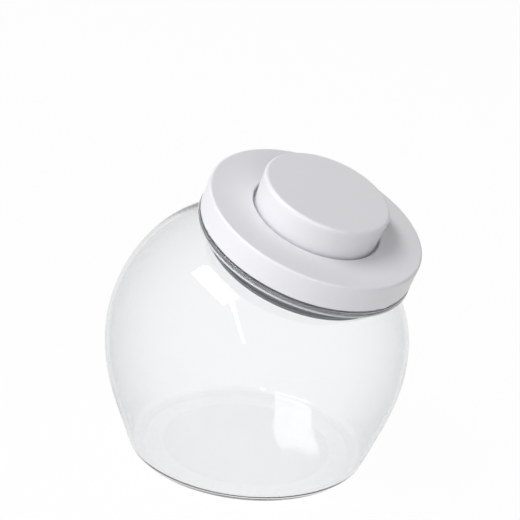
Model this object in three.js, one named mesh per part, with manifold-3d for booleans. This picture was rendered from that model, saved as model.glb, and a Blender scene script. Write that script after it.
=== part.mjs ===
// Push-button cookie jar: a round clear jar whose mouth leans forward, closed by a round white lid.
// The lid's button rises by a spring. Pushing it down rocks three levers, which draw a plate up
// against a soft ring, and the ring swells against the inside of the jar's neck.
// Millimetres, +Z up, origin at the middle of the flat base. The mouth leans towards -Y.
import * as THREE from 'three';
import { LoftGeometry } from 'three/addons/geometries/LoftGeometry.js';
import { mergeVertices } from 'three/addons/utils/BufferGeometryUtils.js';
import Module from 'manifold-3d';

const wasm = await Module();
wasm.setup();

const DEGREE = Math.PI / 180;
const TURN = 2 * Math.PI;

// Clearances
const restGap = 0.3;        // between pieces that rest on each other
const slipGap = 0.15;       // round a pin in its hole
const cutOverrun = 1;       // how far a cutter passes the face that it opens

// Jar
const baseRadius = 63.7;
const baseCornerRadius = 11;
const baseLean = 20 * DEGREE;          // of the wall just above the corner, from upright
const baseThickness = 4.5;
const bulgeRadius = 91.6;
const bulgeHeight = 74.4;
const jarWall = 2.6;
const mouthTilt = 20 * DEGREE;
const mouthHeight = 148.4;             // of the middle of the lid's lower edge
const mouthForward = 30.1;
const neckRadius = 56.9;
const neckLength = 14.9;               // from the lid's lower edge down to the shoulder
const shoulderLeanBack = 25 * DEGREE;
const shoulderLeanFront = 42.5 * DEGREE;
const rimReach = 8.3;                  // of the rim's edge past the neck
const rimThickness = 3.3;
const rimBevel = 0.6;
const rimDrop = 0.8;                   // of the rim's top below the lid's lower edge

// Lid cover
const coverSetback = 0.2;              // of the lower edge inside the rim's edge
const coverTaper = 0.2;                // of the radius from the lower edge to the top
const coverHeight = 15.8;
const coverWall = 2.4;
const coverEdgeRadius = 1.6;
const coverDish = 0.7;                 // fall of the top face from its edge to the well
const wellWall = 2;
const wellEdgeRadius = 1.2;

// Lid housing, the inner half of the lid
const flangeThickness = 2.5;
const plugClearance = 3.6;             // from the plug to the inside of the neck
const plugWall = 2.4;
const trayThickness = 2.2;
const collarHeight = 4.2;              // of the plug's wider part, which the soft ring is pressed up against
const spindleRadius = 3;
const spindleTopGap = 1.2;             // below the core's top when the button is down

// Button
const buttonGap = 0.5;
const buttonTravel = 16;
const buttonProud = 1.2;               // of its top above the cover when it is down
const buttonWall = 2.2;
const buttonEdgeRadius = 2.2;
const buttonSeat = 6.5;                // of the skirt inside the lid when the button is up
const buttonFloorGap = 1.9;            // under the skirt when the button is down
const buttonLip = 2;
const buttonLipHeight = 1.8;

// Button core
const coreGap = 0.4;
const coreThickness = 2;
const coreRimWall = 2.4;
const padThickness = 2;
const sleeveWall = 2;
const sleeveGap = 0.4;
const sleeveEndGap = 0.6;              // above the tray's floor when the button is down

// Levers
const leverCount = 3;
const leverHeel = 3.4;
const leverHeelUnderRing = 0.2;        // of the heel's middle inside the lift ring's edge
const leverWidth = 4.6;
const leverHubRadius = 2.2;
const leverTipRadius = 1.5;
const leverHeelRadius = 1;
const leverPinRadius = 1;
const cheekThickness = 1.8;
const cheekHalfLength = 2.6;
const cheekGap = 0.4;
const leverTipGap = 0.4;
const leverTipSideGap = 0.8755;        // from the tip to the core's rim
const leverFloorGap = 0.7;             // under the tip when the button is down

// Lift ring, plate and soft ring
const liftRingWidth = 2.4;
const liftRingThickness = 2.2;
const liftRingGap = 1.7;               // round the spring
const postRadius = 2.2;
const postWindowGap = 0.5;
const plateClearance = 0.9;            // from the plate to the inside of the neck
const plateThickness = 2;
const plateEdgeRadius = 0.8;
const plateStopGap = 0.35;
const sealLipCount = 3;
const sealBodyThickness = 1.6;
const sealLipGap = 0.4;                // from the lips to the neck when the button is up
const sealLipHeight = 2.4;

// Spring
const springWire = 1.2;
const springGap = 0.6;                 // round the core's sleeve
const springTurns = 6.5;

// Latch that holds the button down until the next push
const latchAzimuth = 30 * DEGREE;
const latchArmThickness = 2;
const latchHubRadius = 2.6;
const latchFloorGap = 1.4;             // under the arm's hub
const latchTipRadius = 1.6;
const latchPegRadius = 1;
const latchPegEndGap = 0.4;            // to the floor of the cam's groove
const latchPinRadius = 1;
const latchBracketThickness = 2.1;
const latchBracketHalfWidth = 3;
const latchBracketRise = 2.6;
const camGap = 1;                      // from the arm's outer face to the cam block
const camThickness = 3;
const camHalfWidth = 6.4;
const camGrooveDepth = 1.5;
const camSwing = 2.8;                  // how far the groove leads the peg aside
const camNotchDrop = 1.5;
const camFloorGap = 0.4;
const camPegRise = 2;                  // of the peg above the cam block's lower edge, button up

// Screws
const screwRadius = 1.1;
const screwHoleGap = 0.2;
const coverScrewHeadRadius = 2.8;
const coverScrewHeadHeight = 1.4;
const coverScrewLength = 11;
const coverBossRadius = 3.3;
const coverBossGap = 0.85;             // to the plug on one side and the button's lip on the other
const coverBossBoreDepth = 12;
const liftScrewRadius = 0.9;
const liftScrewHeadRadius = 1.7;
const liftScrewHeadHeight = 1.1;
const liftScrewLength = 7.5;
const crossSlotWidth = 0.6;

// Number of flats round each kind of turned piece
const jarSides = 48;
const lidSides = 40;
const coreSides = 32;
const smallSides = 14;
const pinSides = 10;
const springSides = 6;
const springStepsPerTurn = 12;

// Shares of a curve's span that its two handles take, in order along the curve
const lowerWallHandleShares = [0.437, 0.378];
const backWallHandleShares = [0.434, 0.392];
const frontWallHandleShares = [0.416, 0.354];
// Share of the wall by which the inside of the shoulder starts lower than the outside
const innerShoulderDropShare = 0.58;

// Share of the way from the lift ring to the core's rim at which the latch arm's inner face stands
const latchPlaceShare = 0.35484;
// Shares of a turn at which the round of a lever's hub and heel starts and ends
const leverHubTurnShares = [0.24, 0.39, 0.61, 0.76];
const leverHeelTurnShares = [0.3, 0.7];
// Half the thickness of a lever's neck, as a share of its heel's radius
const leverNeckShare = 0.9;

// Heights in the lid's own frame, whose zero is the lid's lower edge
const wellTop = coverHeight - coverDish;
const ceiling = coverHeight - coverWall;
const rimTop = -rimDrop;
const flangeBottom = rimTop + restGap;
const collarBottom = flangeBottom - collarHeight;
const buttonTop = coverHeight + buttonProud + buttonTravel;
const buttonBottom = coverHeight - buttonSeat;
const wellBottom = buttonBottom + buttonLipHeight + restGap;
const trayFloor = buttonBottom - buttonTravel - buttonFloorGap;
const trayUnderside = trayFloor - trayThickness;
const coreTop = buttonTop - buttonWall - coreGap;
const coreUnderside = coreTop - coreThickness;
const spindleTop = coreTop - buttonTravel - spindleTopGap;

// Radii, from the neck of the jar inwards
const rimRadius = neckRadius + rimReach;
const coverLowerRadius = rimRadius - coverSetback;
const coverUpperRadius = coverLowerRadius - coverTaper;
const neckBore = neckRadius - jarWall;
const plateRadius = neckBore - plateClearance;
const plugRadius = neckBore - plugClearance;
const plugBore = plugRadius - plugWall;
const collarRadius = plugRadius + restGap + sealBodyThickness;
const sealLipReach = plugClearance - restGap - sealBodyThickness - sealLipGap;
const bossCircleRadius = plugBore - coverBossGap - coverBossRadius;
const buttonRadius = bossCircleRadius - coverBossRadius - coverBossGap - buttonLip;
const wellRadius = buttonRadius + buttonGap;
const coreRadius = buttonRadius - buttonWall - coreGap;
const coreRimBore = coreRadius - coreRimWall;

// Radii, from the spindle outwards
const sleeveBore = spindleRadius + sleeveGap;
const sleeveRadius = sleeveBore + sleeveWall;
const springRadius = sleeveRadius + springGap + springWire / 2;
const liftRingInnerRadius = springRadius + springWire / 2 + liftRingGap;
const liftRingRadius = liftRingInnerRadius + liftRingWidth;
const postCircleRadius = liftRingInnerRadius + liftRingWidth / 2;

// Levers: their tips go down by the button's travel and their heels up by the plate's lift
const leverPivotRadius = liftRingRadius + leverHeel - leverHeelUnderRing;
const leverPivotHeight = trayFloor + leverFloorGap + leverTipRadius + buttonTravel / 2;
const leverSpan = coreRimBore - leverTipSideGap - leverTipRadius - leverPivotRadius;
const leverReach = Math.hypot(leverSpan, buttonTravel / 2);
const leverSwing = Math.asin(buttonTravel / 2 / leverReach);
const plateLift = 2 * leverHeel * Math.sin(leverSwing);
const plateTop = trayUnderside - plateLift - plateStopGap;
const padBottom = leverPivotHeight + buttonTravel / 2 + leverTipRadius + leverTipGap;
const padBore = leverPivotRadius + leverSpan + restGap;
const heelTop = leverPivotHeight - plateLift / 2 + leverHeelRadius;
const liftRingBottom = heelTop + restGap;

// Latch: the arm's inner face stands at the pivot's radius, and the cam outside the arm
const latchPivotRadius = liftRingRadius + latchPlaceShare * (coreRimBore - liftRingRadius);
const latchPivotHeight = trayFloor + latchFloorGap + latchHubRadius;
const latchPegReach = camGap + camGrooveDepth - latchPegEndGap;
const camRadius = latchPivotRadius + latchArmThickness + camGap;
const camBottom = trayFloor + buttonTravel + camFloorGap;
const camGrooveWidth = 2 * (latchPegRadius + restGap);
const latchPegHeight = camBottom + camPegRise;
const latchArmLength = latchPegHeight - latchPivotHeight;

const clearPlastic = new THREE.MeshStandardMaterial({
  color: 0xe4eaf0, roughness: 0.05, metalness: 0, transparent: true, opacity: 0.3,
});
const whitePlastic = new THREE.MeshStandardMaterial({ color: 0xf1f1f4, roughness: 0.38, metalness: 0 });
const greyPlastic = new THREE.MeshStandardMaterial({ color: 0xb9bcc2, roughness: 0.5, metalness: 0 });
const acetal = new THREE.MeshStandardMaterial({ color: 0xdedcd4, roughness: 0.42, metalness: 0 });
const silicone = new THREE.MeshStandardMaterial({ color: 0x9da3aa, roughness: 0.6, metalness: 0 });
const steel = new THREE.MeshStandardMaterial({ color: 0xb4b8bd, roughness: 0.28, metalness: 1 });

// Solid from a closed geometry: equal corners become one, and faces with no area drop out.
function solid(geometry) {
  const corners = new THREE.BufferGeometry();
  corners.setAttribute('position', geometry.attributes.position);
  corners.setIndex(geometry.index);
  const merged = mergeVertices(corners);
  const index = Array.from(merged.index.array);
  const faces = [];
  for (let i = 0; i < index.length; i += 3) {
    const [a, b, c] = index.slice(i, i + 3);
    if (a !== b && b !== c && c !== a) faces.push(a, b, c);
  }
  return new wasm.Manifold(new wasm.Mesh({
    numProp: 3,
    vertProperties: new Float32Array(merged.attributes.position.array),
    triVerts: new Uint32Array(faces),
  }));
}

// Named mesh from a solid.
function piece(name, body, material) {
  const { vertProperties, triVerts } = body.getMesh();
  const geometry = new THREE.BufferGeometry();
  geometry.setAttribute('position', new THREE.BufferAttribute(vertProperties, 3));
  geometry.setIndex(new THREE.BufferAttribute(triVerts, 1));
  geometry.computeVertexNormals();
  const mesh = new THREE.Mesh(geometry, material);
  mesh.name = name;
  return mesh;
}

// Closed outline from corners [x, y, radius]; a corner with a radius is rounded by a short curve.
function rounded(corners, steps = 3) {
  const points = [];
  corners.forEach(([x, y, radius = 0], i) => {
    const corner = new THREE.Vector2(x, y);
    if (radius === 0) {
      points.push(corner);
      return;
    }
    const [before, after] = [corners.at(i - 1), corners[(i + 1) % corners.length]]
      .map(([a, b]) => new THREE.Vector2(a, b).sub(corner).setLength(radius).add(corner));
    points.push(...new THREE.QuadraticBezierCurve(before, corner, after).getPoints(steps));
  });
  points.push(points[0].clone());
  return points;
}

// Solid of revolution about Z; the outline [radius, height, corner radius] runs counterclockwise.
function turned(corners, sides, steps) {
  return solid(new THREE.LatheGeometry(rounded(corners, steps), sides).rotateX(Math.PI / 2));
}

// Upright round bar or disc between two heights, its axis at (x, y).
function bar(radius, low, high, x = 0, y = 0, sides = smallSides) {
  const geometry = new THREE.CylinderGeometry(radius, radius, high - low, sides).rotateX(Math.PI / 2);
  return solid(geometry.translate(x, y, (low + high) / 2));
}

// Box from its low corner to its high corner.
function block(low, high) {
  const size = high.map((v, i) => v - low[i]);
  const middle = high.map((v, i) => (v + low[i]) / 2);
  return solid(new THREE.BoxGeometry(...size).translate(...middle));
}

// The angles at which three like features stand; the posts and bosses stand between the levers.
function azimuths(start) {
  return Array.from({ length: leverCount }, (_, i) => start + i * TURN / leverCount);
}
const leverAzimuths = azimuths(TURN / 4);
const postAzimuths = azimuths(TURN / 4 + TURN / leverCount / 2);

function turnedTo(body, azimuth) {
  return body.rotate([0, 0, azimuth / DEGREE]);
}

// Point of the lid's frame in the jar's frame.
function onLid(x, y, h) {
  return new THREE.Vector3(x, y, h)
    .applyAxisAngle(new THREE.Vector3(1, 0, 0), mouthTilt)
    .add(new THREE.Vector3(0, -mouthForward, mouthHeight));
}

// Ring of the jar: a circle square to the X = 0 plane, of centre (y, z) there and leaning by an angle.
function ring(radius, y, z, lean) {
  return Array.from({ length: jarSides }, (_, i) => {
    const u = i * TURN / jarSides;
    const across = radius * Math.sin(u);
    return new THREE.Vector3(radius * Math.cos(u), y + across * Math.cos(lean), z + across * Math.sin(lean));
  });
}

// Ring round the neck, at a height in the lid's frame.
function neckRing(radius, h) {
  const centre = onLid(0, 0, h);
  return ring(radius, centre.y, centre.z, mouthTilt);
}

// Level rings of the lower body, from the base to the widest place; the inset is 0 outside and the
// wall inside. The corner is an arc and the wall above it one cubic curve.
function lowerRings(inset, cornerSteps, wallSteps) {
  const radius = baseCornerRadius - inset;
  const floor = inset === 0 ? 0 : baseThickness;
  const startAngle = -Math.asin((baseCornerRadius - floor) / radius);
  const rings = [];
  for (let i = 0; i < cornerSteps; i += 1) {
    const a = startAngle + (-baseLean - startAngle) * i / cornerSteps;
    rings.push(ring(baseRadius + radius * Math.cos(a), 0, baseCornerRadius + radius * Math.sin(a), 0));
  }
  const start = new THREE.Vector2(Math.cos(baseLean), -Math.sin(baseLean))
    .multiplyScalar(radius)
    .add(new THREE.Vector2(baseRadius, baseCornerRadius));
  const end = new THREE.Vector2(bulgeRadius - inset, bulgeHeight);
  const rise = end.y - start.y;
  const [low, high] = lowerWallHandleShares;
  const along = new THREE.Vector2(Math.sin(baseLean), Math.cos(baseLean)).multiplyScalar(low * rise);
  const wall = new THREE.CubicBezierCurve(
    start, start.clone().add(along), new THREE.Vector2(end.x, end.y - high * rise), end,
  );
  wall.getPoints(wallSteps).forEach((p) => rings.push(ring(p.x, 0, p.y, 0)));
  return rings;
}

// Side profile of the upper body in the X = 0 plane, from the widest place to the neck.
// The side is 1 at the back and -1 at the front.
function shoulderProfile(side, inset, neckFoot, lean, handleShares) {
  const axis = new THREE.Vector2(-Math.sin(mouthTilt), Math.cos(mouthTilt));
  const across = new THREE.Vector2(axis.y, -axis.x);
  const start = new THREE.Vector2(side * (bulgeRadius - inset), bulgeHeight);
  const end = neckFoot.clone().addScaledVector(across, side * (neckRadius - inset));
  const inward = across.clone().multiplyScalar(-side * Math.cos(lean)).addScaledVector(axis, Math.sin(lean));
  const [low, high] = handleShares;
  return new THREE.CubicBezierCurve(
    start,
    new THREE.Vector2(start.x, start.y + low * (end.y - start.y)),
    end.clone().addScaledVector(inward, -high * end.distanceTo(start)),
    end,
  );
}

// Distance of a profile from the hinge point, at a given angle above level.
function reachAt(profile, hinge, angle) {
  let low = 0;
  let high = 1;
  for (let i = 0; i < 30; i += 1) {
    const middle = (low + high) / 2;
    const p = profile.getPoint(middle).sub(hinge);
    const reached = Math.atan(p.y / p.x);
    if (reached < angle) low = middle;
    else high = middle;
  }
  const p = profile.getPoint(low).sub(hinge);
  return Math.sign(p.x) * p.length();
}

// Rings of the upper body. Their planes fan out from the line where the widest place's plane meets
// the neck's, so that they turn from level to the mouth's tilt, and each spans the two profiles.
function upperRings(inset, steps) {
  const foot = onLid(0, 0, -neckLength - inset * innerShoulderDropShare);
  const neckFoot = new THREE.Vector2(foot.y, foot.z);
  const back = shoulderProfile(1, inset, neckFoot, shoulderLeanBack, backWallHandleShares);
  const front = shoulderProfile(-1, inset, neckFoot, shoulderLeanFront, frontWallHandleShares);
  const hinge = new THREE.Vector2(neckFoot.x - (neckFoot.y - bulgeHeight) / Math.tan(mouthTilt), bulgeHeight);
  const rings = [];
  for (let i = 1; i < steps; i += 1) {
    const lean = mouthTilt * i / steps;
    const far = reachAt(back, hinge, lean);
    const near = reachAt(front, hinge, lean);
    const middle = (far + near) / 2;
    const y = hinge.x + middle * Math.cos(lean);
    const z = hinge.y + middle * Math.sin(lean);
    rings.push(ring((far - near) / 2, y, z, lean));
  }
  rings.push(ring(neckRadius - inset, neckFoot.x, neckFoot.y, mouthTilt));
  return rings;
}

function jarBody() {
  const rimBottom = rimTop - rimThickness;
  const sections = [
    ring(0, 0, 0, 0),
    ...lowerRings(0, 4, 7),
    ...upperRings(0, 10),
    neckRing(neckRadius, rimBottom),
    neckRing(rimRadius - rimBevel, rimBottom),
    neckRing(rimRadius, rimBottom + rimBevel),
    neckRing(rimRadius, rimTop - rimBevel),
    neckRing(rimRadius - rimBevel, rimTop),
    neckRing(neckBore, rimTop),
    ...upperRings(jarWall, 8).reverse(),
    ...lowerRings(jarWall, 2, 6).reverse(),
    ring(0, 0, baseThickness, 0),
  ];
  return piece('jar_body', solid(new LoftGeometry(sections)), clearPlastic);
}

// Screw standing on its head at the origin, its shank upwards.
function screw(name, radius, headRadius, headHeight, length) {
  const head = bar(headRadius, 0, headHeight, 0, 0, pinSides);
  const shank = bar(radius, headHeight / 2, headHeight + length, 0, 0, pinSides);
  const half = headRadius / 2;
  const depth = headHeight / 2;
  const slot = crossSlotWidth / 2;
  const cross = block([-half, -slot, -cutOverrun], [half, slot, depth])
    .add(block([-slot, -half, -cutOverrun], [slot, half, depth]));
  return piece(name, head.add(shank).subtract(cross), steel);
}

function lidCover() {
  const innerLow = coverLowerRadius - coverWall;
  const innerHigh = coverUpperRadius - coverWall;
  let shell = turned([
    [coverLowerRadius, 0, 0],
    [coverUpperRadius, coverHeight, coverEdgeRadius],
    [wellRadius, wellTop, wellEdgeRadius],
    [wellRadius, wellBottom, 0],
    [wellRadius + wellWall, wellBottom, 0],
    [wellRadius + wellWall, ceiling - coverDish, 0],
    [innerHigh, ceiling, coverEdgeRadius / 2],
    [innerLow, 0, 0],
  ], lidSides);
  const boss = bar(coverBossRadius, trayFloor + restGap, ceiling, bossCircleRadius)
    .subtract(bar(
      screwRadius + screwHoleGap, trayFloor - cutOverrun, trayFloor + restGap + coverBossBoreDepth,
      bossCircleRadius, 0, pinSides,
    ));
  postAzimuths.forEach((a) => {
    shell = shell.add(turnedTo(boss, a));
  });
  return piece('lid_cover', shell, whitePlastic);
}

// The tray's two uprights that carry one lever's pin.
function leverCheeks() {
  const inner = leverWidth / 2 + cheekGap;
  const outer = inner + cheekThickness;
  const near = leverPivotRadius - cheekHalfLength;
  const far = leverPivotRadius + cheekHalfLength;
  const top = leverPivotHeight + leverHubRadius;
  const root = trayFloor - trayThickness / 2;
  const hole = leverPin(slipGap, cutOverrun);
  return block([near, inner, root], [far, outer, top])
    .add(block([near, -outer, root], [far, -inner, top]))
    .subtract(hole);
}

// A lever's pin across its two cheeks, or its hole, where it is wider and longer.
function leverPin(gap = 0, overrun = 0) {
  const half = leverWidth / 2 + cheekGap + cheekThickness + overrun;
  const geometry = new THREE.CylinderGeometry(leverPinRadius + gap, leverPinRadius + gap, 2 * half, pinSides);
  return solid(geometry.translate(leverPivotRadius, 0, leverPivotHeight));
}

// The latch arm's pin along the lid's radius, or its hole.
function latchPin(gap = 0, overrun = 0) {
  const start = latchPivotRadius - restGap - latchBracketThickness - overrun;
  const end = latchPivotRadius + latchArmThickness + overrun;
  const radius = latchPinRadius + gap;
  const geometry = new THREE.CylinderGeometry(radius, radius, end - start, pinSides).rotateZ(TURN / 4);
  return solid(geometry.translate((start + end) / 2, 0, latchPivotHeight));
}

function latchBracket() {
  const outer = latchPivotRadius - restGap;
  const low = [outer - latchBracketThickness, -latchBracketHalfWidth, trayFloor - trayThickness / 2];
  const high = [outer, latchBracketHalfWidth, latchPivotHeight + latchBracketRise];
  return block(low, high).subtract(latchPin(slipGap, cutOverrun));
}

function lidHousing() {
  const flangeRadius = coverLowerRadius - coverWall - 2 * restGap;
  let tray = turned([
    [0, trayUnderside, 0],
    [plugRadius, trayUnderside, plateEdgeRadius],
    [plugRadius, collarBottom, 0],
    [collarRadius, collarBottom, 0],
    [collarRadius, flangeBottom, 0],
    [flangeRadius, flangeBottom, 0],
    [flangeRadius, flangeBottom + flangeThickness, 0],
    [plugBore, flangeBottom + flangeThickness, 0],
    [plugBore, trayFloor, plateEdgeRadius],
    [spindleRadius, trayFloor, 0],
    [spindleRadius, spindleTop, 0],
    [0, spindleTop, 0],
  ], lidSides);
  leverAzimuths.forEach((a) => {
    tray = tray.add(turnedTo(leverCheeks(), a));
  });
  const low = trayUnderside - cutOverrun;
  const high = trayFloor + cutOverrun;
  const window = bar(postRadius + postWindowGap, low, high, postCircleRadius);
  const screwHole = bar(screwRadius + screwHoleGap, low, high, bossCircleRadius, 0, pinSides)
    .add(bar(coverScrewHeadRadius + restGap, low, trayUnderside + coverScrewHeadHeight, bossCircleRadius));
  postAzimuths.forEach((a) => {
    tray = tray.subtract(turnedTo(window, a)).subtract(turnedTo(screwHole, a));
  });
  return piece('lid_housing', tray.add(turnedTo(latchBracket(), latchAzimuth)), whitePlastic);
}

// Soft ring round the plug, with three lips that nearly touch the neck.
function sealRing() {
  const inner = plugRadius + restGap;
  const outer = collarRadius;
  const low = plateTop + restGap;
  const high = collarBottom - restGap;
  const pitch = (high - low) / sealLipCount;
  const corners = [[inner, low, 0], [outer, low, 0]];
  for (let i = 0; i < sealLipCount; i += 1) {
    const middle = low + (i + 0.5) * pitch;
    corners.push([outer, middle - sealLipHeight / 2, 0]);
    corners.push([outer + sealLipReach, middle, 0]);
    corners.push([outer, middle + sealLipHeight / 2, 0]);
  }
  corners.push([outer, high, 0], [inner, high, 0]);
  return piece('sealing_ring', turned(corners, lidSides), silicone);
}

function pressurePlate() {
  let plate = turned([
    [0, plateTop - plateThickness, 0],
    [plateRadius, plateTop - plateThickness, plateEdgeRadius],
    [plateRadius, plateTop, 0],
    [0, plateTop, 0],
  ], lidSides);
  const postTop = liftRingBottom - restGap;
  const boreBottom = liftRingBottom + liftRingThickness - liftScrewLength - restGap;
  const bore = bar(
    liftScrewRadius + screwHoleGap, boreBottom, postTop + cutOverrun, postCircleRadius, 0, pinSides,
  );
  const post = bar(postRadius, plateTop - plateThickness / 2, postTop, postCircleRadius).subtract(bore);
  postAzimuths.forEach((a) => {
    plate = plate.add(turnedTo(post, a));
  });
  return piece('pressure_plate', plate, greyPlastic);
}

function liftRing() {
  const top = liftRingBottom + liftRingThickness;
  let body = turned([
    [liftRingInnerRadius, liftRingBottom, 0],
    [liftRingRadius, liftRingBottom, 0],
    [liftRingRadius, top, 0],
    [liftRingInnerRadius, top, 0],
  ], coreSides);
  const holeRadius = liftScrewRadius + screwHoleGap;
  const hole = bar(holeRadius, liftRingBottom - cutOverrun, top + cutOverrun, postCircleRadius, 0, pinSides);
  // a screw hole stands in an ear, because it is nearly as wide as the ring
  const ear = bar(postRadius, liftRingBottom, top, postCircleRadius);
  postAzimuths.forEach((a) => {
    body = body.add(turnedTo(ear, a)).subtract(turnedTo(hole, a));
  });
  return piece('lift_ring', body, greyPlastic);
}

function buttonCap() {
  const inner = buttonRadius - buttonWall;
  const lip = buttonRadius + buttonLip;
  const cap = turned([
    [inner, buttonBottom, 0],
    [lip, buttonBottom, 0],
    [lip, buttonBottom + buttonLipHeight, 0],
    [buttonRadius, buttonBottom + buttonLipHeight, 0],
    [buttonRadius, buttonTop, buttonEdgeRadius],
    [0, buttonTop, 0],
    [0, buttonTop - buttonWall, 0],
    [inner, buttonTop - buttonWall, buttonEdgeRadius / 2],
  ], lidSides, 4);
  return piece('button_cap', cap, whitePlastic);
}

// One straight lane of the cam's groove between two places on the block's face.
function camLane(fromY, fromZ, toY, toZ) {
  const length = Math.hypot(toY - fromY, toZ - fromZ);
  const half = camGrooveWidth / 2;
  const shape = new THREE.Shape();
  shape.absarc(0, 0, half, TURN / 4, 3 * TURN / 4, false);
  shape.absarc(length, 0, half, -TURN / 4, TURN / 4, false);
  const geometry = new THREE.ExtrudeGeometry(shape, {
    depth: camGrooveDepth + cutOverrun, bevelEnabled: false, curveSegments: 5,
  });
  // the lane's length lies along the face, and its depth goes into the block
  geometry.rotateZ(Math.atan2(toZ - fromZ, toY - fromY)).rotateX(TURN / 4).rotateZ(TURN / 4);
  return solid(geometry.translate(camRadius - cutOverrun, fromY, fromZ));
}

// Block under the core with a heart-shaped groove: one lane leads the peg aside as the button goes
// down, the notch between the lanes' tops holds it down, and the other lane leads it back.
function latchCam() {
  const bottom = latchPegHeight;
  const top = latchPegHeight + buttonTravel;
  const notch = top - camNotchDrop;
  return block([camRadius, -camHalfWidth, camBottom], [camRadius + camThickness, camHalfWidth, coreTop])
    .subtract(camLane(0, bottom, camSwing, top))
    .subtract(camLane(camSwing, top, 0, notch))
    .subtract(camLane(0, notch, -camSwing, top))
    .subtract(camLane(-camSwing, top, 0, bottom));
}

function buttonCore() {
  const sleeveBottom = trayFloor + buttonTravel + sleeveEndGap;
  const padTop = padBottom + padThickness;
  const core = turned([
    [sleeveBore, sleeveBottom, 0],
    [sleeveRadius, sleeveBottom, 0],
    [sleeveRadius, coreUnderside, 0],
    [coreRimBore, coreUnderside, 0],
    [coreRimBore, padTop, 0],
    [padBore, padTop, 0],
    [padBore, padBottom, 0],
    [coreRadius, padBottom, 0],
    [coreRadius, coreTop, buttonEdgeRadius / 2],
    [sleeveBore, coreTop, 0],
  ], coreSides);
  return piece('button_core', core.add(turnedTo(latchCam(), latchAzimuth)), greyPlastic);
}

// Lever in its own frame: the pin's centre is the origin and the long arm lies along +X.
function lever(name) {
  const shape = new THREE.Shape();
  const neck = leverHeelRadius * leverNeckShare;
  const hub = leverHubTurnShares.map((share) => share * TURN);
  const heel = leverHeelTurnShares.map((share) => share * TURN);
  shape.absarc(leverReach, 0, leverTipRadius, -TURN / 4, TURN / 4, false);
  shape.absarc(0, 0, leverHubRadius, hub[0], hub[1], false);
  shape.lineTo(-leverHeel, neck);
  shape.absarc(-leverHeel, 0, leverHeelRadius, heel[0], heel[1], false);
  shape.lineTo(-leverHeel, -neck);
  shape.absarc(0, 0, leverHubRadius, hub[2], hub[3], false);
  const geometry = new THREE.ExtrudeGeometry(shape, {
    depth: leverWidth, bevelEnabled: false, curveSegments: 4,
  });
  const holeRadius = leverPinRadius + slipGap;
  const hole = new THREE.CylinderGeometry(holeRadius, holeRadius, leverWidth + 2 * cutOverrun, pinSides);
  const body = solid(geometry.translate(0, 0, -leverWidth / 2).rotateX(TURN / 4)).subtract(solid(hole));
  return piece(name, body, acetal);
}

// Latch arm in its own frame: the pin's centre is the origin, the arm stands up along +Z and its
// inner face is at X = 0.
function latchArm() {
  const shape = new THREE.Shape();
  shape.absarc(0, 0, latchHubRadius, -TURN / 4, TURN / 4, false);
  shape.absarc(-latchArmLength, 0, latchTipRadius, TURN / 4, 3 * TURN / 4, false);
  const plate = new THREE.ExtrudeGeometry(shape, {
    depth: latchArmThickness, bevelEnabled: false, curveSegments: 6,
  });
  const body = solid(plate.rotateY(TURN / 4));
  const reach = latchArmThickness / 2 + latchPegReach;
  const peg = new THREE.CylinderGeometry(latchPegRadius, latchPegRadius, reach, pinSides)
    .rotateZ(TURN / 4)
    .translate(latchArmThickness + latchPegReach - reach / 2, 0, latchArmLength);
  const holeRadius = latchPinRadius + slipGap;
  const holeLength = latchArmThickness + 2 * cutOverrun;
  const hole = new THREE.CylinderGeometry(holeRadius, holeRadius, holeLength, pinSides)
    .rotateZ(TURN / 4)
    .translate(latchArmThickness / 2, 0, 0);
  return piece('latch_arm', body.add(solid(peg)).subtract(solid(hole)), acetal);
}

// The spring's centre line: a helix about Z.
class Helix extends THREE.Curve {
  constructor(radius, low, high, turns) {
    super();
    Object.assign(this, { radius, low, high, turns });
  }

  getPoint(t, target = new THREE.Vector3()) {
    const angle = t * this.turns * TURN;
    const height = this.low + t * (this.high - this.low);
    return target.set(this.radius * Math.cos(angle), this.radius * Math.sin(angle), height);
  }
}

function returnSpring() {
  const half = springWire / 2;
  const low = trayFloor + restGap + half;
  const high = coreUnderside - restGap - half;
  const path = new Helix(springRadius, low, high, springTurns);
  const section = new THREE.Shape();
  section.absarc(0, 0, half, 0, TURN, false);
  const wire = new THREE.ExtrudeGeometry(section, {
    steps: Math.round(springTurns * springStepsPerTurn),
    curveSegments: springSides / 2,
    bevelEnabled: false,
    extrudePath: path,
  });
  return piece('return_spring', solid(wire), steel);
}

// Group turned to an azimuth of the lid.
function atAzimuth(azimuth, ...children) {
  const group = new THREE.Group();
  group.rotation.z = azimuth;
  group.add(...children);
  return group;
}

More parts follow.
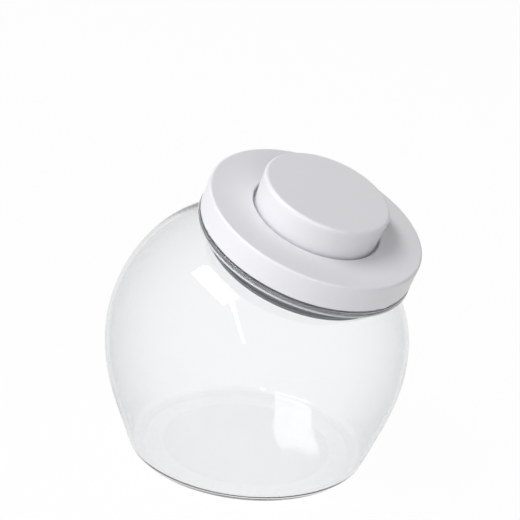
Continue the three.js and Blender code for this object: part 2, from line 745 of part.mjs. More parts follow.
function lid() {
  const group = new THREE.Group();
  group.position.set(0, -mouthForward, mouthHeight);
  group.rotation.x = mouthTilt;
  group.add(lidCover(), lidHousing(), sealRing(), pressurePlate(), liftRing());
  group.add(buttonCap(), buttonCore(), returnSpring());
  leverAzimuths.forEach((azimuth, i) => {
    const arm = lever(`press_lever_${i + 1}`);
    arm.position.set(leverPivotRadius, 0, leverPivotHeight);
    arm.rotation.y = -leverSwing;
    group.add(atAzimuth(azimuth, arm, piece(`lever_pin_${i + 1}`, leverPin(), steel)));
  });
  postAzimuths.forEach((azimuth, i) => {
    const coverScrew = screw(
      `cover_screw_${i + 1}`, screwRadius, coverScrewHeadRadius, coverScrewHeadHeight, coverScrewLength,
    );
    coverScrew.position.set(bossCircleRadius, 0, trayUnderside - restGap);
    const liftScrew = screw(
      `lift_screw_${i + 1}`, liftScrewRadius, liftScrewHeadRadius, liftScrewHeadHeight, liftScrewLength,
    );
    const headTop = liftRingBottom + liftRingThickness + restGap + liftScrewHeadHeight;
    liftScrew.position.set(postCircleRadius, 0, headTop);
    liftScrew.rotation.x = TURN / 2;
    group.add(atAzimuth(azimuth, coverScrew, liftScrew));
  });
  const arm = latchArm();
  arm.position.set(latchPivotRadius, 0, latchPivotHeight);
  group.add(atAzimuth(latchAzimuth, arm, piece('latch_pin', latchPin(), steel)));
  return group;
}

const canister = new THREE.Group();
canister.add(jarBody(), lid());

export default canister;
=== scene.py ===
"""Looks of the push-button cookie jar: a clear jar with a forward-leaning mouth and a white lid.

Every new surface is a stack of circles worked out with numpy. Metres, Z up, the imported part's frame.
"""

import math

import bpy
import numpy as np
from mathutils import Matrix


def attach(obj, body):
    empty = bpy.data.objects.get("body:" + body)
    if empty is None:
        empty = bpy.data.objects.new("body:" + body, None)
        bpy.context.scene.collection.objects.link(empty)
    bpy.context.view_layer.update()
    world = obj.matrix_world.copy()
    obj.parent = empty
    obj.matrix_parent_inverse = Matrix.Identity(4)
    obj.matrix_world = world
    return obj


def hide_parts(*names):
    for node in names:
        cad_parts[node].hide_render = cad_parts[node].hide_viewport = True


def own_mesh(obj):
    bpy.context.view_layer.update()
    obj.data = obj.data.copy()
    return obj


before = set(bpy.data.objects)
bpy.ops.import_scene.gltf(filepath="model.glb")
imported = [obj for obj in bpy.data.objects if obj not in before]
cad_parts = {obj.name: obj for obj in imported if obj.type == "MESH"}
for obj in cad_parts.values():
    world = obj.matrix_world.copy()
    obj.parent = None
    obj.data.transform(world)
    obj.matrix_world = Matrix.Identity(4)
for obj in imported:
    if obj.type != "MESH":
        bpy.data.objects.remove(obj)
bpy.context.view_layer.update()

MM = 0.001
TURN = 2 * math.pi
DEGREE = math.pi / 180
TINY = 1e-8

# Jar
BASE_RADIUS = 63.7 * MM
BASE_CORNER = 11 * MM
BASE_LEAN = 20 * DEGREE
BASE_THICKNESS = 4.5 * MM
INNER_CORNER = 5 * MM
BASE_HOLLOW_RADIUS = 52 * MM
BASE_HOLLOW_DEPTH = 0.9 * MM
BASE_FLAT_SHARE = 0.98
FLOOR_RING_SHARES = (1, 0.95, 0.6, 0)
BULGE_RADIUS = 91.6 * MM
BULGE_HEIGHT = 74.4 * MM
JAR_WALL = 2.6 * MM
MOUTH_TILT = 20 * DEGREE
MOUTH_HEIGHT = 148.4 * MM
MOUTH_FORWARD = 30.1 * MM
NECK_RADIUS = 56.9 * MM
NECK_LENGTH = 14.9 * MM
RIM_RADIUS = 65.2 * MM
RIM_TOP = -0.8 * MM
RIM_THICKNESS = 3.3 * MM
NECK_FILLET = 1.2 * MM
RIM_CORNER = 0.6 * MM
BORE_CORNER = 0.8 * MM
RIM_EDGE_HALF = (0.9 * MM, 0.6 * MM)
RIM_EDGE_PROUD = 0.2 * MM
RIM_EDGE_SIDES = 24
LOWER_HANDLES = (0.437, 0.378)
BACK_SHOULDER = (25 * DEGREE, 0.434, 0.392)
FRONT_SHOULDER = (42.5 * DEGREE, 0.416, 0.354)
INNER_SHOULDER_DROP = 0.58
JAR_SIDES = 240
BASE_CORNER_STEPS = 12
INNER_CORNER_STEPS = 10
WALL_STEPS = 44
SHOULDER_STEPS = 48
PROFILE_STEPS = 2000
HOLLOW_STEPS = 24

# Lid, in its own frame, whose zero is the lid's lower edge
REST_GAP = 0.3 * MM
FAINT_EDGE = 0.1 * MM
SMALL_EDGE = 0.2 * MM
FINE_EDGE = 0.3 * MM
COVER_LOWER_RADIUS = 65 * MM
COVER_UPPER_RADIUS = 64.8 * MM
COVER_HEIGHT = 15.8 * MM
COVER_WALL = 2.4 * MM
COVER_EDGE = 1.6 * MM
COVER_FOOT_EDGE = 0.35 * MM
COVER_DISH = 0.7 * MM
WELL_RADIUS = 38.5 * MM
WELL_WALL = 2 * MM
WELL_EDGE = 1.2 * MM
WELL_FILLET = 0.4 * MM
WELL_BOTTOM = 11.4 * MM
BUTTON_RADIUS = 38 * MM
BUTTON_FOOT_RADIUS = 37 * MM
BUTTON_TOP = 33 * MM
BUTTON_BOTTOM = 9.3 * MM
BUTTON_WALL = 2.2 * MM
BUTTON_EDGE = 2.2 * MM
BUTTON_LIP = 2 * MM
BUTTON_LIP_HEIGHT = 1.8 * MM
BOSS_CIRCLE = 44.15 * MM
BOSS_RADIUS = 3.3 * MM
BOSS_BORE = 1.3 * MM
BOSS_BORE_DEPTH = 12 * MM
TRAY_FLOOR = -8.6 * MM
PLATE_RADIUS = 53.4 * MM
PLATE_TOP = -14.172 * MM
PLATE_THICKNESS = 2 * MM
PLATE_EDGE = 0.8 * MM
POST_CIRCLE = 10.1 * MM
POST_RADIUS = 2.2 * MM
POST_TOP = 1.089 * MM
POST_ROOT = 1 * MM
SEAL_INNER = 51 * MM
SEAL_OUTER = 52.6 * MM
SEAL_LIP = 53.9 * MM
SEAL_LOW = -13.872 * MM
SEAL_HIGH = -5 * MM
SEAL_LIP_HEIGHT = 2.4 * MM
SEAL_LIP_EDGE = 0.6 * MM
SEAL_LIPS = 3
SPRING_RADIUS = 6.6 * MM
SPRING_WIRE = 1.2 * MM
SPRING_LOW = -7.7 * MM
SPRING_HIGH = 27.5 * MM
SPRING_TURNS = 6.5
SPRING_POINTS = 480
SPRING_SIDES = 16
THIRDS = [math.radians(a) for a in (30, 150, 270)]
COVER_SIDES = 200
BUTTON_SIDES = 180
PLATE_SIDES = 160
BOSS_SIDES = 32

# A support point's distance from its corner, in the corner's size, and the most of the way to the next
SUPPORT_REACH = 1.3
SUPPORT_ROOM = 0.98


# Shapes


def on_lid(points):
    """Points of the lid's frame in the jar's: turned about X by the mouth's tilt, then moved."""
    c, s = math.cos(MOUTH_TILT), math.sin(MOUTH_TILT)
    x, y, h = np.moveaxis(np.asarray(points, float), -1, 0)
    return np.stack([x, y * c - h * s - MOUTH_FORWARD, y * s + h * c + MOUTH_HEIGHT], axis=-1)


def level_rings(profile):
    """Rings (radius, centre y, centre z, lean) from (radius, height), level about the jar's axis."""
    r, z = np.asarray(profile, float).T
    return np.stack([r, 0 * r, z, 0 * r], axis=-1)


def lid_rings(profile):
    """Rings from (radius, height) about the lid's axis."""
    r, h = np.asarray(profile, float).T
    centre = on_lid(np.stack([0 * r, 0 * r, h], axis=-1))
    return np.stack([r, centre[:, 1], centre[:, 2], 0 * r + MOUTH_TILT], axis=-1)


def bezier(a, b, c, d, steps):
    """Cubic curve through a and d with handles b and c, at even parameters."""
    t = np.linspace(0, 1, steps + 1)[:, None]
    a, b, c, d = (np.asarray(p, float) for p in (a, b, c, d))
    return (1 - t) ** 3 * a + 3 * t * (1 - t) ** 2 * b + 3 * t * t * (1 - t) * c + t**3 * d


def arc(centre, radius, start, end, steps):
    """Points of an arc of a circle, without its last one."""
    angle = np.linspace(start, end, steps + 1)[:-1, None]
    return centre + radius * np.concatenate([np.cos(angle), np.sin(angle)], axis=1)


def around(radius, angle):
    """(x, y) on a circle."""
    return radius * math.cos(angle), radius * math.sin(angle)


def softened(corners, closed=False, steps=6):
    """Outline whose corners (point..., size) are round.

    A corner C between tangent points A and B, each its size away, becomes the rational curve
    ((1-t)^2 A + 2w t(1-t) C + t^2 B) / ((1-t)^2 + 2w t(1-t) + t^2), with w the cosine of half the
    turn, which is a circle's arc. A support point stands just outside A and B, so that the shading
    of the flats stays flat.
    """
    points = [np.asarray(c[:-1], float) for c in corners]
    out = []
    t = np.linspace(0, 1, steps + 1)[:, None]
    for i, (point, corner) in enumerate(zip(points, corners)):
        size = corner[-1]
        if size == 0 or (not closed and i in (0, len(points) - 1)):
            out.append(point[None])
            continue
        before, after = points[i - 1] - point, points[(i + 1) % len(points)] - point
        room_a, room_b = np.linalg.norm(before), np.linalg.norm(after)
        before, after = before / room_a, after / room_b
        a, b = point + before * size, point + after * size
        w = math.sqrt(max(0.0, (1 - float(before @ after)) / 2))
        weight = (1 - t) ** 2 + 2 * w * t * (1 - t) + t * t
        curve = ((1 - t) ** 2 * a + 2 * w * t * (1 - t) * point + t * t * b) / weight
        far_a = min(SUPPORT_REACH * size, SUPPORT_ROOM * room_a)
        far_b = min(SUPPORT_REACH * size, SUPPORT_ROOM * room_b)
        out += [(point + before * far_a)[None], curve, (point + after * far_b)[None]]
    return np.concatenate(out)


def stack(rings, sides, closed):
    """Points and faces of a skin over a stack of circles.

    Point (u, ring) is (r cos u, y + r sin u cos lean, z + r sin u sin lean). A ring of radius 0 is
    one point with a fan of triangles; a closed stack joins its last ring to its first.
    """
    rings = np.asarray(rings, float)
    keep = np.r_[True, np.abs(np.diff(rings, axis=0)).max(1) > TINY]
    rings = rings[keep]
    r, y, z, lean = (rings[:, k, None] for k in range(4))
    u = np.arange(sides) * TURN / sides
    grid = np.stack(
        [r * np.cos(u), y + r * np.sin(u) * np.cos(lean), z + r * np.sin(u) * np.sin(lean)], axis=-1
    )
    count = len(rings)
    index = np.arange(count * sides).reshape(count, sides)
    pole = rings[:, 0] < TINY
    low = index if closed else index[:-1]
    high = np.roll(index, -1, axis=0) if closed else index[1:]
    quads = np.stack([low, np.roll(low, -1, 1), np.roll(high, -1, 1), high], axis=-1)
    low_pole = pole[: len(low)]
    high_pole = np.roll(pole, -1)[: len(low)]
    plain = quads[~low_pole & ~high_pole].reshape(-1, 4)
    lower_fan = quads[low_pole][:, :, [0, 2, 3]].copy()
    lower_fan[:, :, 0] = lower_fan[:, :1, 0]
    upper_fan = quads[high_pole][:, :, [0, 1, 3]].copy()
    upper_fan[:, :, 2] = upper_fan[:, :1, 2]
    fans = np.concatenate([lower_fan.reshape(-1, 3), upper_fan.reshape(-1, 3)])
    used = np.unique(np.concatenate([plain.ravel(), fans.ravel()]))
    renumber = np.zeros(count * sides, int)
    renumber[used] = np.arange(len(used))
    faces = [f.tolist() for f in (renumber[plain], renumber[fans])]
    return grid.reshape(-1, 3)[used], faces[0] + faces[1]


def tube(path, radius, sides):
    """Points and faces of a closed round tube along a path of points, with flat ends.

    Circle k lies square to the path's tangent there, on axes that a fixed direction gives by cross
    products: centre + radius (cos v a + sin v b).
    """
    path = np.asarray(path, float)
    tangent = np.gradient(path, axis=0)
    tangent /= np.linalg.norm(tangent, axis=1, keepdims=True)
    side = np.cross(tangent, on_lid([0, 0, 1]) - on_lid([0, 0, 0]))
    side /= np.linalg.norm(side, axis=1, keepdims=True)
    up = np.cross(side, tangent)
    v = (np.arange(sides) * TURN / sides)[:, None]
    rings = path[:, None] + radius * (np.cos(v) * side[:, None] + np.sin(v) * up[:, None])
    index = np.arange(len(path) * sides).reshape(len(path), sides)
    low, high = index[:-1], index[1:]
    quads = np.stack([low, high, np.roll(high, -1, 1), np.roll(low, -1, 1)], axis=-1)
    ends = [index[0].tolist(), index[-1][::-1].tolist()]
    return rings.reshape(-1, 3), quads.reshape(-1, 4).tolist() + ends


def joined(*shells):
    """Several shells' points and faces as one."""
    points, faces, start = [], [], 0
    for p, f in shells:
        points.append(p)
        faces += [[i + start for i in face] for face in f]
        start += len(p)
    return np.concatenate(points), faces


def upright_on_lid(profile, x, y):
    """Small turned shell whose axis is parallel to the lid's and stands at (x, y) on it."""
    points, faces = stack(level_rings(profile), BOSS_SIDES, False)
    return on_lid(points + np.array([x, y, 0.0])), faces


def in_scene(name, data):
    """New object of the scene with the given data."""
    made = bpy.data.objects.new(name, data)
    bpy.context.scene.collection.objects.link(made)
    return made


def piece(name, shell, material, body, slot, *nodes):
    """Smooth-shaded object from points and faces; it rides on a body and stands for its CAD nodes."""
    points, faces = shell
    mesh = bpy.data.meshes.new(name)
    mesh.from_pydata(points, [], faces)
    mesh.shade_smooth()
    mesh.materials.append(material)
    mesh.update()
    made = in_scene(name, mesh)
    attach(made, body)
    if nodes:
        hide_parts(*nodes)
    return made


def lower_wall(inset, steps):
    """Level rings from the base to the widest place: an arc or two, then one cubic curve.

    Inside, a smaller arc leads from the floor into the wall's corner arc, which it touches where
    their centres' line meets both.
    """
    middle = np.array([BASE_RADIUS, BASE_CORNER])
    radius = BASE_CORNER - inset
    start = -TURN / 4
    small = np.zeros((0, 2))
    if inset:
        apart = radius - INNER_CORNER
        start = -math.asin((BASE_CORNER - BASE_THICKNESS - INNER_CORNER) / apart)
        centre = middle + apart * np.array([math.cos(start), math.sin(start)])
        small = arc(centre, INNER_CORNER, -TURN / 4, start, INNER_CORNER_STEPS)
    corner = arc(middle, radius, start, -BASE_LEAN, BASE_CORNER_STEPS)
    first = middle + radius * np.array([math.cos(BASE_LEAN), -math.sin(BASE_LEAN)])
    last = np.array([BULGE_RADIUS - inset, BULGE_HEIGHT])
    rise = last[1] - first[1]
    low, high = LOWER_HANDLES
    along = first + low * rise * np.array([math.sin(BASE_LEAN), math.cos(BASE_LEAN)])
    wall = bezier(first, along, last - [0, high * rise], last, steps)
    return level_rings(np.concatenate([small, corner, wall]))


def shoulder_side(side, inset, foot, lean, low, high):
    """Profile of the shoulder in the X = 0 plane at the back (1) or front (-1), as a dense curve."""
    axis = np.array([-math.sin(MOUTH_TILT), math.cos(MOUTH_TILT)])
    across = np.array([axis[1], -axis[0]])
    start = np.array([side * (BULGE_RADIUS - inset), BULGE_HEIGHT])
    end = foot + across * side * (NECK_RADIUS - inset)
    inward = -across * side * math.cos(lean) + axis * math.sin(lean)
    rise = [0, low * (end[1] - start[1])]
    above = end - inward * high * np.linalg.norm(end - start)
    return bezier(start, start + rise, above, end, PROFILE_STEPS)


def reach(profile, hinge, angles):
    """Signed distance of a profile from the hinge point, where it is seen at the given angles."""
    away = profile - hinge
    seen = np.arctan(away[:, 1] / away[:, 0])
    length = np.hypot(*away.T) * np.sign(away[:, 0])
    return np.interp(angles, seen, length)


def shoulder(inset, steps):
    """Rings of the shoulder, each of which spans the back and front profiles.

    Their planes fan out from the line where the widest place's plane meets the neck's.
    """
    foot = on_lid([0, 0, -NECK_LENGTH - inset * INNER_SHOULDER_DROP])[1:]
    hinge = np.array([foot[0] - (foot[1] - BULGE_HEIGHT) / math.tan(MOUTH_TILT), BULGE_HEIGHT])
    lean = MOUTH_TILT * np.arange(1, steps) / steps
    far = reach(shoulder_side(1, inset, foot, *BACK_SHOULDER), hinge, lean)
    near = reach(shoulder_side(-1, inset, foot, *FRONT_SHOULDER), hinge, lean)
    middle = (far + near) / 2
    y, z = hinge[0] + middle * np.cos(lean), hinge[1] + middle * np.sin(lean)
    return np.stack([(far - near) / 2, y, z, lean], axis=-1)


def jar_shell():
    """The jar's whole skin: base, outer wall, shoulder, neck and rim, and back down the inside."""
    low = RIM_TOP - RIM_THICKNESS
    bore = NECK_RADIUS - JAR_WALL
    out = np.linspace(0, 1, HOLLOW_STEPS + 1)
    dome = np.stack([out * BASE_HOLLOW_RADIUS, BASE_HOLLOW_DEPTH * (1 - out**2) ** 2], axis=-1)
    base = np.concatenate([dome, [(BASE_RADIUS * BASE_FLAT_SHARE, 0)]])
    foot = -NECK_LENGTH
    inner_foot = foot - JAR_WALL * INNER_SHOULDER_DROP
    outer, inner = shoulder(0, SHOULDER_STEPS), shoulder(JAR_WALL, SHOULDER_STEPS)
    rim = np.array(
        [
            (NECK_RADIUS, foot, NECK_FILLET),
            (NECK_RADIUS, low, NECK_FILLET),
            (RIM_RADIUS, low, RIM_CORNER),
            (RIM_RADIUS, RIM_TOP, RIM_CORNER),
            (bore, RIM_TOP, BORE_CORNER),
            (bore, inner_foot, NECK_FILLET),
        ]
    )
    corners = np.column_stack([lid_rings(rim[:, :2]), rim[:, 2]])
    ends = [np.append(outer[-1], 0), np.append(inner[-1], 0)]
    upper = softened([ends[0], *corners, ends[1]], steps=8)
    floor = level_rings([(BASE_RADIUS * share, BASE_THICKNESS) for share in FLOOR_RING_SHARES])
    rings = np.concatenate(
        [
            level_rings(base),
            lower_wall(0, WALL_STEPS),
            outer[:-1],
            upper,
            inner[:-1][::-1],
            lower_wall(JAR_WALL, WALL_STEPS)[::-1],
            floor,
        ]
    )
    return stack(rings, JAR_SIDES, False)


def rim_edge_shell():
    """A pale ring along the lower edge of the jar's clear rim, with an elliptic section: a painted
    highlight for the bright line that edge catches.

    Its points are (middle + across cos v, low + up sin v), about a point on the rim's underside.
    """
    v = np.arange(RIM_EDGE_SIDES) * TURN / RIM_EDGE_SIDES
    across, up = RIM_EDGE_HALF
    middle = RIM_RADIUS + RIM_EDGE_PROUD - across
    low = RIM_TOP - RIM_THICKNESS
    profile = np.stack([middle + across * np.cos(v), low + up * np.sin(v)], axis=-1)
    return stack(lid_rings(profile), JAR_SIDES, True)


def boss_outline():
    """Outline (radius, height) of a screw boss, from the middle of its bore's end round to its top."""
    bottom = TRAY_FLOOR + REST_GAP
    end = bottom + BOSS_BORE_DEPTH
    top = COVER_HEIGHT - COVER_WALL
    return softened(
        [
            (0, end, 0),
            (BOSS_BORE, end, FAINT_EDGE),
            (BOSS_BORE, bottom, SMALL_EDGE),
            (BOSS_RADIUS, bottom, FINE_EDGE),
            (BOSS_RADIUS, top, FAINT_EDGE),
            (0, top, 0),
        ]
    )


def cover_shell():
    """The lid's outer half: round side, soft top edge, dished top and the button's well."""
    ceiling = COVER_HEIGHT - COVER_WALL
    outline = softened(
        [
            (COVER_LOWER_RADIUS, 0, COVER_FOOT_EDGE),
            (COVER_UPPER_RADIUS, COVER_HEIGHT, COVER_EDGE),
            (WELL_RADIUS, COVER_HEIGHT - COVER_DISH, WELL_EDGE),
            (WELL_RADIUS, WELL_BOTTOM, FINE_EDGE),
            (WELL_RADIUS + WELL_WALL, WELL_BOTTOM, FINE_EDGE),
            (WELL_RADIUS + WELL_WALL, ceiling - COVER_DISH, WELL_FILLET),
            (COVER_UPPER_RADIUS - COVER_WALL, ceiling, COVER_EDGE / 2),
            (COVER_LOWER_RADIUS - COVER_WALL, 0, COVER_FOOT_EDGE),
        ],
        closed=True,
        steps=8,
    )
    return joined(
        stack(lid_rings(outline), COVER_SIDES, True),
        *[upright_on_lid(boss_outline(), *around(BOSS_CIRCLE, a)) for a in THIRDS],
    )


def button_shell():
    """The palm button: a deep cap, slightly narrower below, with a soft edge and a lip at its foot."""
    inner = BUTTON_RADIUS - BUTTON_WALL
    foot = BUTTON_BOTTOM + BUTTON_LIP_HEIGHT
    outline = softened(
        [
            (0, BUTTON_TOP - BUTTON_WALL, 0),
            (inner, BUTTON_TOP - BUTTON_WALL, BUTTON_EDGE / 2),
            (inner, BUTTON_BOTTOM, FINE_EDGE),
            (BUTTON_RADIUS + BUTTON_LIP, BUTTON_BOTTOM, FINE_EDGE),
            (BUTTON_RADIUS + BUTTON_LIP, foot, FINE_EDGE),
            (BUTTON_FOOT_RADIUS, foot, SMALL_EDGE),
            (BUTTON_RADIUS, BUTTON_TOP, BUTTON_EDGE),
            (0, BUTTON_TOP, 0),
        ],
        steps=10,
    )
    return stack(lid_rings(outline), BUTTON_SIDES, False)


def plate_shell():
    """The pressure plate with its three posts."""
    low = PLATE_TOP - PLATE_THICKNESS
    disc = softened(
        [
            (0, low, 0),
            (PLATE_RADIUS, low, PLATE_EDGE),
            (PLATE_RADIUS, PLATE_TOP, FINE_EDGE),
            (0, PLATE_TOP, 0),
        ]
    )
    post = softened(
        [
            (0, PLATE_TOP - POST_ROOT, 0),
            (POST_RADIUS, PLATE_TOP - POST_ROOT, 0),
            (POST_RADIUS, POST_TOP, FINE_EDGE),
            (0, POST_TOP, 0),
        ]
    )
    return joined(
        stack(lid_rings(disc), PLATE_SIDES, False),
        *[upright_on_lid(post, *around(POST_CIRCLE, a)) for a in THIRDS],
    )


def seal_shell():
    """The soft ring: a band with round lips towards the neck."""
    pitch = (SEAL_HIGH - SEAL_LOW) / SEAL_LIPS
    corners = [(SEAL_INNER, SEAL_LOW, FINE_EDGE), (SEAL_OUTER, SEAL_LOW, FINE_EDGE)]
    for i in range(SEAL_LIPS):
        middle = SEAL_LOW + (i + 0.5) * pitch
        corners += [
            (SEAL_OUTER, middle - SEAL_LIP_HEIGHT / 2, FINE_EDGE),
            (SEAL_LIP, middle, SEAL_LIP_EDGE),
            (SEAL_OUTER, middle + SEAL_LIP_HEIGHT / 2, FINE_EDGE),
        ]
    corners += [(SEAL_OUTER, SEAL_HIGH, FINE_EDGE), (SEAL_INNER, SEAL_HIGH, FINE_EDGE)]
    return stack(lid_rings(softened(corners, closed=True, steps=4)), PLATE_SIDES, True)


def spring_shell():
    """The return spring: a round wire along a helix about the lid's axis."""
    t = np.linspace(0, 1, SPRING_POINTS)
    angle = t * SPRING_TURNS * TURN
    height = SPRING_LOW + t * (SPRING_HIGH - SPRING_LOW)
    x, y = SPRING_RADIUS * np.cos(angle), SPRING_RADIUS * np.sin(angle)
    return tube(on_lid(np.stack([x, y, height], axis=-1)), SPRING_WIRE / 2, SPRING_SIDES)


# Finishes

PLASTIC_IOR = 1.5
GLOSS_SPREAD = 0.08
CLEAR_FACE = (0.96, 0.966, 0.97)
CLEAR_EDGE = (0.42, 0.44, 0.47)
CLEAR_SHADOW = (0.93, 0.94, 0.95)


class Signal:
    """One socket of a node tree, on which arithmetic adds Math nodes."""

    def __init__(self, wiring, socket):
        self.wiring = wiring
        self.socket = socket

    def _maths(self, operation, a, b):
        return self.wiring.add("ShaderNodeMath", {"operation": operation}, {0: a, 1: b})

    def __add__(self, other):
        return self._maths("ADD", self, other)

    __radd__ = __add__

    def __mul__(self, other):
        return self._maths("MULTIPLY", self, other)

    __rmul__ = __mul__

    def __pow__(self, other):
        return self._maths("POWER", self, other)

    def larger(self, other):
        """The larger of the two."""
        return self._maths("MAXIMUM", self, other)


class Wiring:
    """A node tree being built."""

    def __init__(self, owner):
        owner.use_nodes = True
        self.tree = owner.node_tree
        self.tree.nodes.clear()

    def add(self, kind, settings=None, inputs=None, output=0):
        """A node of a kind with its settings, then its sockets' values or links; gives one output."""
        node = self.tree.nodes.new(kind)
        for name, value in (settings or {}).items():
            setattr(node, name, value)
        for name, value in (inputs or {}).items():
            if isinstance(value, Signal):
                self.tree.links.new(value.socket, node.inputs[name])
            else:
                node.inputs[name].default_value = value
        return Signal(self, node.outputs[output]) if len(node.outputs) else node

    def place(self, stretch):
        """Object coordinates, stretched."""
        here = self.add("ShaderNodeTexCoord", output="Object")
        return self.add("ShaderNodeMapping", None, {"Vector": here, "Scale": stretch})

    def noise(self, scale, detail, stretch=(1, 1, 1)):
        """Smooth noise from 0 to 1, with scale features in a metre and so many finer layers."""
        inputs = {"Vector": self.place(stretch), "Scale": scale, "Detail": detail}
        return self.add("ShaderNodeTexNoise", None, inputs, "Fac")

    def blend(self, share, a, b):
        """Colour between a and b, each (red, green, blue)."""
        inputs = {0: share, 6: colour(*a), 7: colour(*b)}
        return self.add("ShaderNodeMix", {"data_type": "RGBA"}, inputs, 2)

    def bump(self, height, depth, strength=1.0):
        """Normal from a height of 0 to 1 that is so many metres deep."""
        inputs = {"Height": height, "Distance": depth, "Strength": strength}
        return self.add("ShaderNodeBump", None, inputs)

    def out(self, shader, kind="ShaderNodeOutputMaterial"):
        """The tree's output."""
        self.add(kind, None, {"Surface": shader})


def colour(red, green, blue):
    """Opaque colour of a socket."""
    return (red, green, blue, 1.0)


def moulded_plastic(name, tone, shade, roughness, grain, depth):
    """Opaque moulded plastic with a cloudy gloss, whose colour drifts from shade to tone.

    Its satin grain has so many features in a metre and a depth in metres.
    """
    material = bpy.data.materials.new(name)
    w = Wiring(material)
    drift = w.noise(9, 3)
    cloud = w.noise(55, 3)
    fine = w.noise(grain, 2)
    surface = w.add(
        "ShaderNodeBsdfPrincipled",
        None,
        {
            "Base Color": w.blend(drift, shade, tone),
            "Roughness": cloud * GLOSS_SPREAD + (roughness - GLOSS_SPREAD / 2),
            "IOR": PLASTIC_IOR,
            "Normal": w.bump(fine, depth),
        },
    )
    w.out(surface)
    return material


def clear_plastic(name):
    """Clear plastic with a slow ripple left by moulding, which lets the light of the lamps pass.

    Its tint deepens towards grazing view: with the square of the grazing share over the whole
    surface, and with its twelfth power along the outline.
    """
    material = bpy.data.materials.new(name)
    w = Wiring(material)
    grazing = w.add("ShaderNodeLayerWeight", None, {"Blend": 0.5}, "Facing")
    gathered = grazing**2 * 0.85 + grazing**12 * 0.15
    tint = w.blend(gathered, CLEAR_FACE, CLEAR_EDGE)
    ripple = w.noise(28, 1)
    haze = w.noise(60, 3)
    plastic = w.add(
        "ShaderNodeBsdfPrincipled",
        None,
        {
            "Base Color": tint,
            "Roughness": haze * 0.025 + 0.005,
            "IOR": PLASTIC_IOR,
            "Transmission Weight": 1.0,
            "Normal": w.bump(ripple, 0.2 * MM, 0.35),
        },
    )
    passing = w.add("ShaderNodeBsdfTransparent", None, {"Color": colour(*CLEAR_SHADOW)})
    shadow = w.add("ShaderNodeLightPath", output="Is Shadow Ray")
    w.out(w.add("ShaderNodeMixShader", None, {0: shadow, 1: plastic, 2: passing}))
    return material


def painted_highlight_plastic(name):
    """Pale, partly see-through matt plastic with a fine grain that scatters the light falling on it: a
    painted highlight for the clear rim's lower edge.
    """
    material = bpy.data.materials.new(name)
    w = Wiring(material)
    cloud = w.noise(400, 2)
    fine = w.noise(2600, 2)
    surface = w.add(
        "ShaderNodeBsdfPrincipled",
        None,
        {
            "Base Color": w.blend(cloud, (0.74, 0.76, 0.78), (0.8, 0.82, 0.84)),
            "Roughness": cloud * 0.1 + 0.4,
            "IOR": PLASTIC_IOR,
            "Alpha": 0.8,
            "Normal": w.bump(fine, 0.01 * MM),
        },
    )
    w.out(surface)
    return material


def drawn_steel(name, tone, shade, roughness):
    """Zinc-plated steel: a metal with fine drawing marks and a faint mottle."""
    material = bpy.data.materials.new(name)
    w = Wiring(material)
    mottle = w.noise(160, 4)
    marks = w.noise(1400, 2, (1, 1, 0.1))
    surface = w.add(
        "ShaderNodeBsdfPrincipled",
        None,
        {
            "Base Color": w.blend(mottle, shade, tone),
            "Metallic": 1.0,
            "Roughness": marks * 0.15 + roughness,
            "Normal": w.bump(marks, 0.01 * MM),
        },
    )
    w.out(surface)
    return material


WHITE = moulded_plastic(
    "white_plastic",
    tone=(0.83, 0.83, 0.855),
    shade=(0.80, 0.80, 0.83),
    roughness=0.36,
    grain=2600,
    depth=0.01 * MM,
)
# Grey plastic; on the plate it is painted shade, since the real plate is white
GREY = moulded_plastic(
    "grey_plastic",
    tone=(0.27, 0.28, 0.30),
    shade=(0.25, 0.26, 0.28),
    roughness=0.5,
    grain=2200,
    depth=0.02 * MM,
)
ACETAL = moulded_plastic(
    "bearing_plastic",
    tone=(0.74, 0.72, 0.66),
    shade=(0.70, 0.68, 0.62),
    roughness=0.42,
    grain=2200,
    depth=0.01 * MM,
)
# The ring's own grey, darkened to the tone of the band under the lid: partly its colour, partly
# painted shade
SILICONE = moulded_plastic(
    "silicone",
    tone=(0.15, 0.16, 0.18),
    shade=(0.12, 0.13, 0.15),
    roughness=0.55,
    grain=1800,
    depth=0.02 * MM,
)
CLEAR = clear_plastic("clear_plastic")
# Pale matt finish of the ring that paints the highlight on the rim's lower edge
PAINTED_HIGHLIGHT = painted_highlight_plastic("painted_highlight_plastic")
STEEL = drawn_steel(
    "steel",
    tone=(0.62, 0.63, 0.65),
    shade=(0.52, 0.53, 0.55),
    roughness=0.24,
)


# The pieces

piece("jar", jar_shell(), CLEAR, "jar", "clear_plastic", "jar_body")
# A pale matt ring as a painted highlight along the clear rim's lower edge
piece("rim_edge", rim_edge_shell(), PAINTED_HIGHLIGHT, "jar", "clear_plastic")
piece("cover", cover_shell(), WHITE, "lid", "white_plastic", "lid_cover")
piece("palm_button", button_shell(), WHITE, "button", "white_plastic", "button_cap")
# The plate is grey where the real one is white: painted shade for the dark band seen through the neck
piece("plate", plate_shell(), GREY, "plate", "grey_plastic", "pressure_plate")
soft_ring = piece("soft_ring", seal_shell(), SILICONE, "lid", "silicone", "sealing_ring")
spring = piece("spring", spring_shell(), STEEL, "lid", "steel", "return_spring")
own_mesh(soft_ring)
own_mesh(spring)

CARRIED = {
    "lid_housing": WHITE,
    "button_core": GREY,
    "lift_ring": GREY,
    "latch_arm": ACETAL,
    "latch_pin": STEEL,
}
for i in (1, 2, 3):
    CARRIED[f"press_lever_{i}"] = ACETAL
    for part in ("lever_pin", "cover_screw", "lift_screw"):
        CARRIED[f"{part}_{i}"] = STEEL
for node, finish in CARRIED.items():
    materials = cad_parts[node].data.materials
    materials.clear()
    materials.append(finish)


# Floor, light and camera

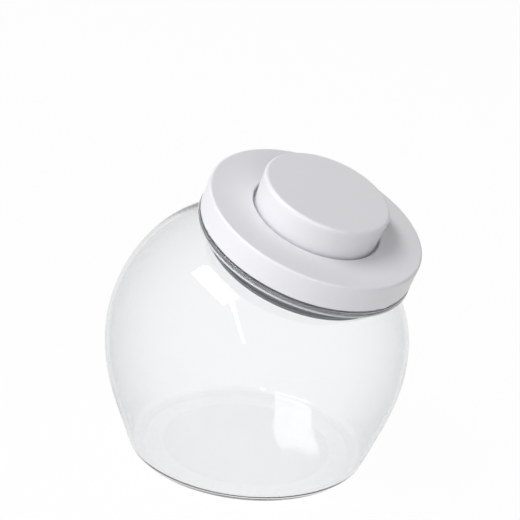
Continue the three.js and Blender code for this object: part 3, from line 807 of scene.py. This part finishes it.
MIDDLE = np.array([0, 0, 0.1])
FLOOR_WHITE = 0.97
PHOTO_WIDTH = 520
FOCAL_LENGTH = 1500
SENSOR_WIDTH = 36
CAMERA_PLACE = (-0.63289, -0.53953, 0.4369)
CAMERA_RIGHT = (0.67563, -0.73092, 0.09636)
CAMERA_DOWN = (-0.19872, -0.30641, -0.93093)
CAMERA_FORWARD = (0.70996, 0.60981, -0.35226)


def backdrop_rays(w):
    """1 for rays of the eye, of gloss and through clear plastic, and 0 for the rest."""
    camera, gloss, through = (
        w.add("ShaderNodeLightPath", output=name)
        for name in ("Is Camera Ray", "Is Glossy Ray", "Is Transmission Ray")
    )
    return camera.larger(gloss).larger(through)


def floor(size):
    """Pale floor that takes the object's shadow.

    To the eye, in gloss and through clear plastic it shows almost wholly as the white backdrop.
    """
    material = bpy.data.materials.new("backdrop")
    w = Wiring(material)
    grain = w.noise(3, 2)
    paper = w.blend(grain, (0.9, 0.9, 0.9), (0.92, 0.92, 0.92))
    matt = w.add("ShaderNodeBsdfDiffuse", None, {"Color": paper})
    lit = w.add("ShaderNodeEmission", None, {"Color": colour(1, 1, 1), "Strength": 1.0})
    w.out(w.add("ShaderNodeMixShader", None, {0: backdrop_rays(w) * FLOOR_WHITE, 1: matt, 2: lit}))
    half = size / 2
    points = np.array([[-half, -half, 0], [half, -half, 0], [half, half, 0], [-half, half, 0]], float)
    mesh = bpy.data.meshes.new("floor")
    mesh.from_pydata(points, [], [[0, 1, 2, 3]])
    mesh.materials.append(material)
    in_scene("floor", mesh)


def surroundings(level):
    """White backdrop, and an even light of the given level on the object."""
    world = bpy.data.worlds.new("studio")
    bpy.context.scene.world = world
    w = Wiring(world)
    light = w.add("ShaderNodeBackground", None, {"Color": colour(0.98, 0.99, 1), "Strength": level})
    white = w.add("ShaderNodeBackground", None, {"Color": colour(1, 1, 1), "Strength": 1.0})
    mixed = w.add("ShaderNodeMixShader", None, {0: backdrop_rays(w), 1: light, 2: white})
    w.out(mixed, "ShaderNodeOutputWorld")


def lamp(name, place, size, power, mirrored, up=(0, 0, 1)):
    """Rectangular area lamp that faces the jar's middle, with its height turned towards up.

    Where it is mirrored, it shows in gloss and through the clear plastic.
    """
    data = bpy.data.lights.new(name, "AREA")
    data.shape = "RECTANGLE"
    data.size, data.size_y = size
    data.energy = power
    made = in_scene(name, data)
    away = np.asarray(place, float) - MIDDLE
    away /= np.linalg.norm(away)
    side = np.cross(up, away)
    side /= np.linalg.norm(side)
    turn = np.column_stack([side, np.cross(away, side), away])
    turn = Matrix(turn.tolist()).to_4x4()
    turn.translation = place
    made.matrix_world = turn
    made.visible_glossy = mirrored
    made.visible_transmission = mirrored


def camera():
    """The photograph's view, whose width and focal length are given in its pixels."""
    data = bpy.data.cameras.new("camera")
    data.sensor_fit = "HORIZONTAL"
    data.sensor_width = SENSOR_WIDTH
    data.lens = FOCAL_LENGTH / PHOTO_WIDTH * SENSOR_WIDTH
    data.clip_start, data.clip_end = 0.05, 50
    made = in_scene("camera", data)
    axes = zip(CAMERA_RIGHT, CAMERA_DOWN, CAMERA_FORWARD)
    turn = Matrix([[right, -down, -forward] for right, down, forward in axes]).to_4x4()
    turn.translation = CAMERA_PLACE
    made.matrix_world = turn
    bpy.context.scene.camera = made


camera()
floor(size=6)
surroundings(level=0.16)
lamp("softbox", place=(-1.15, 0.48, 2.43), size=(1.65, 0.65), power=32, mirrored=True)
lamp(
    "strip",
    place=(-1.63, -0.71, 1.88),
    size=(0.1, 1.75),
    power=3,
    mirrored=True,
    up=(0.4, 0.67, 0.62),
)
lamp("left", place=(-3.0, 0.9, 0.8), size=(2.6, 2.2), power=49, mirrored=False)
lamp("front", place=(-1.9, -3.0, 1.5), size=(2.6, 2.2), power=37.5, mirrored=False)
bpy.context.scene.view_settings.view_transform = "Standard"
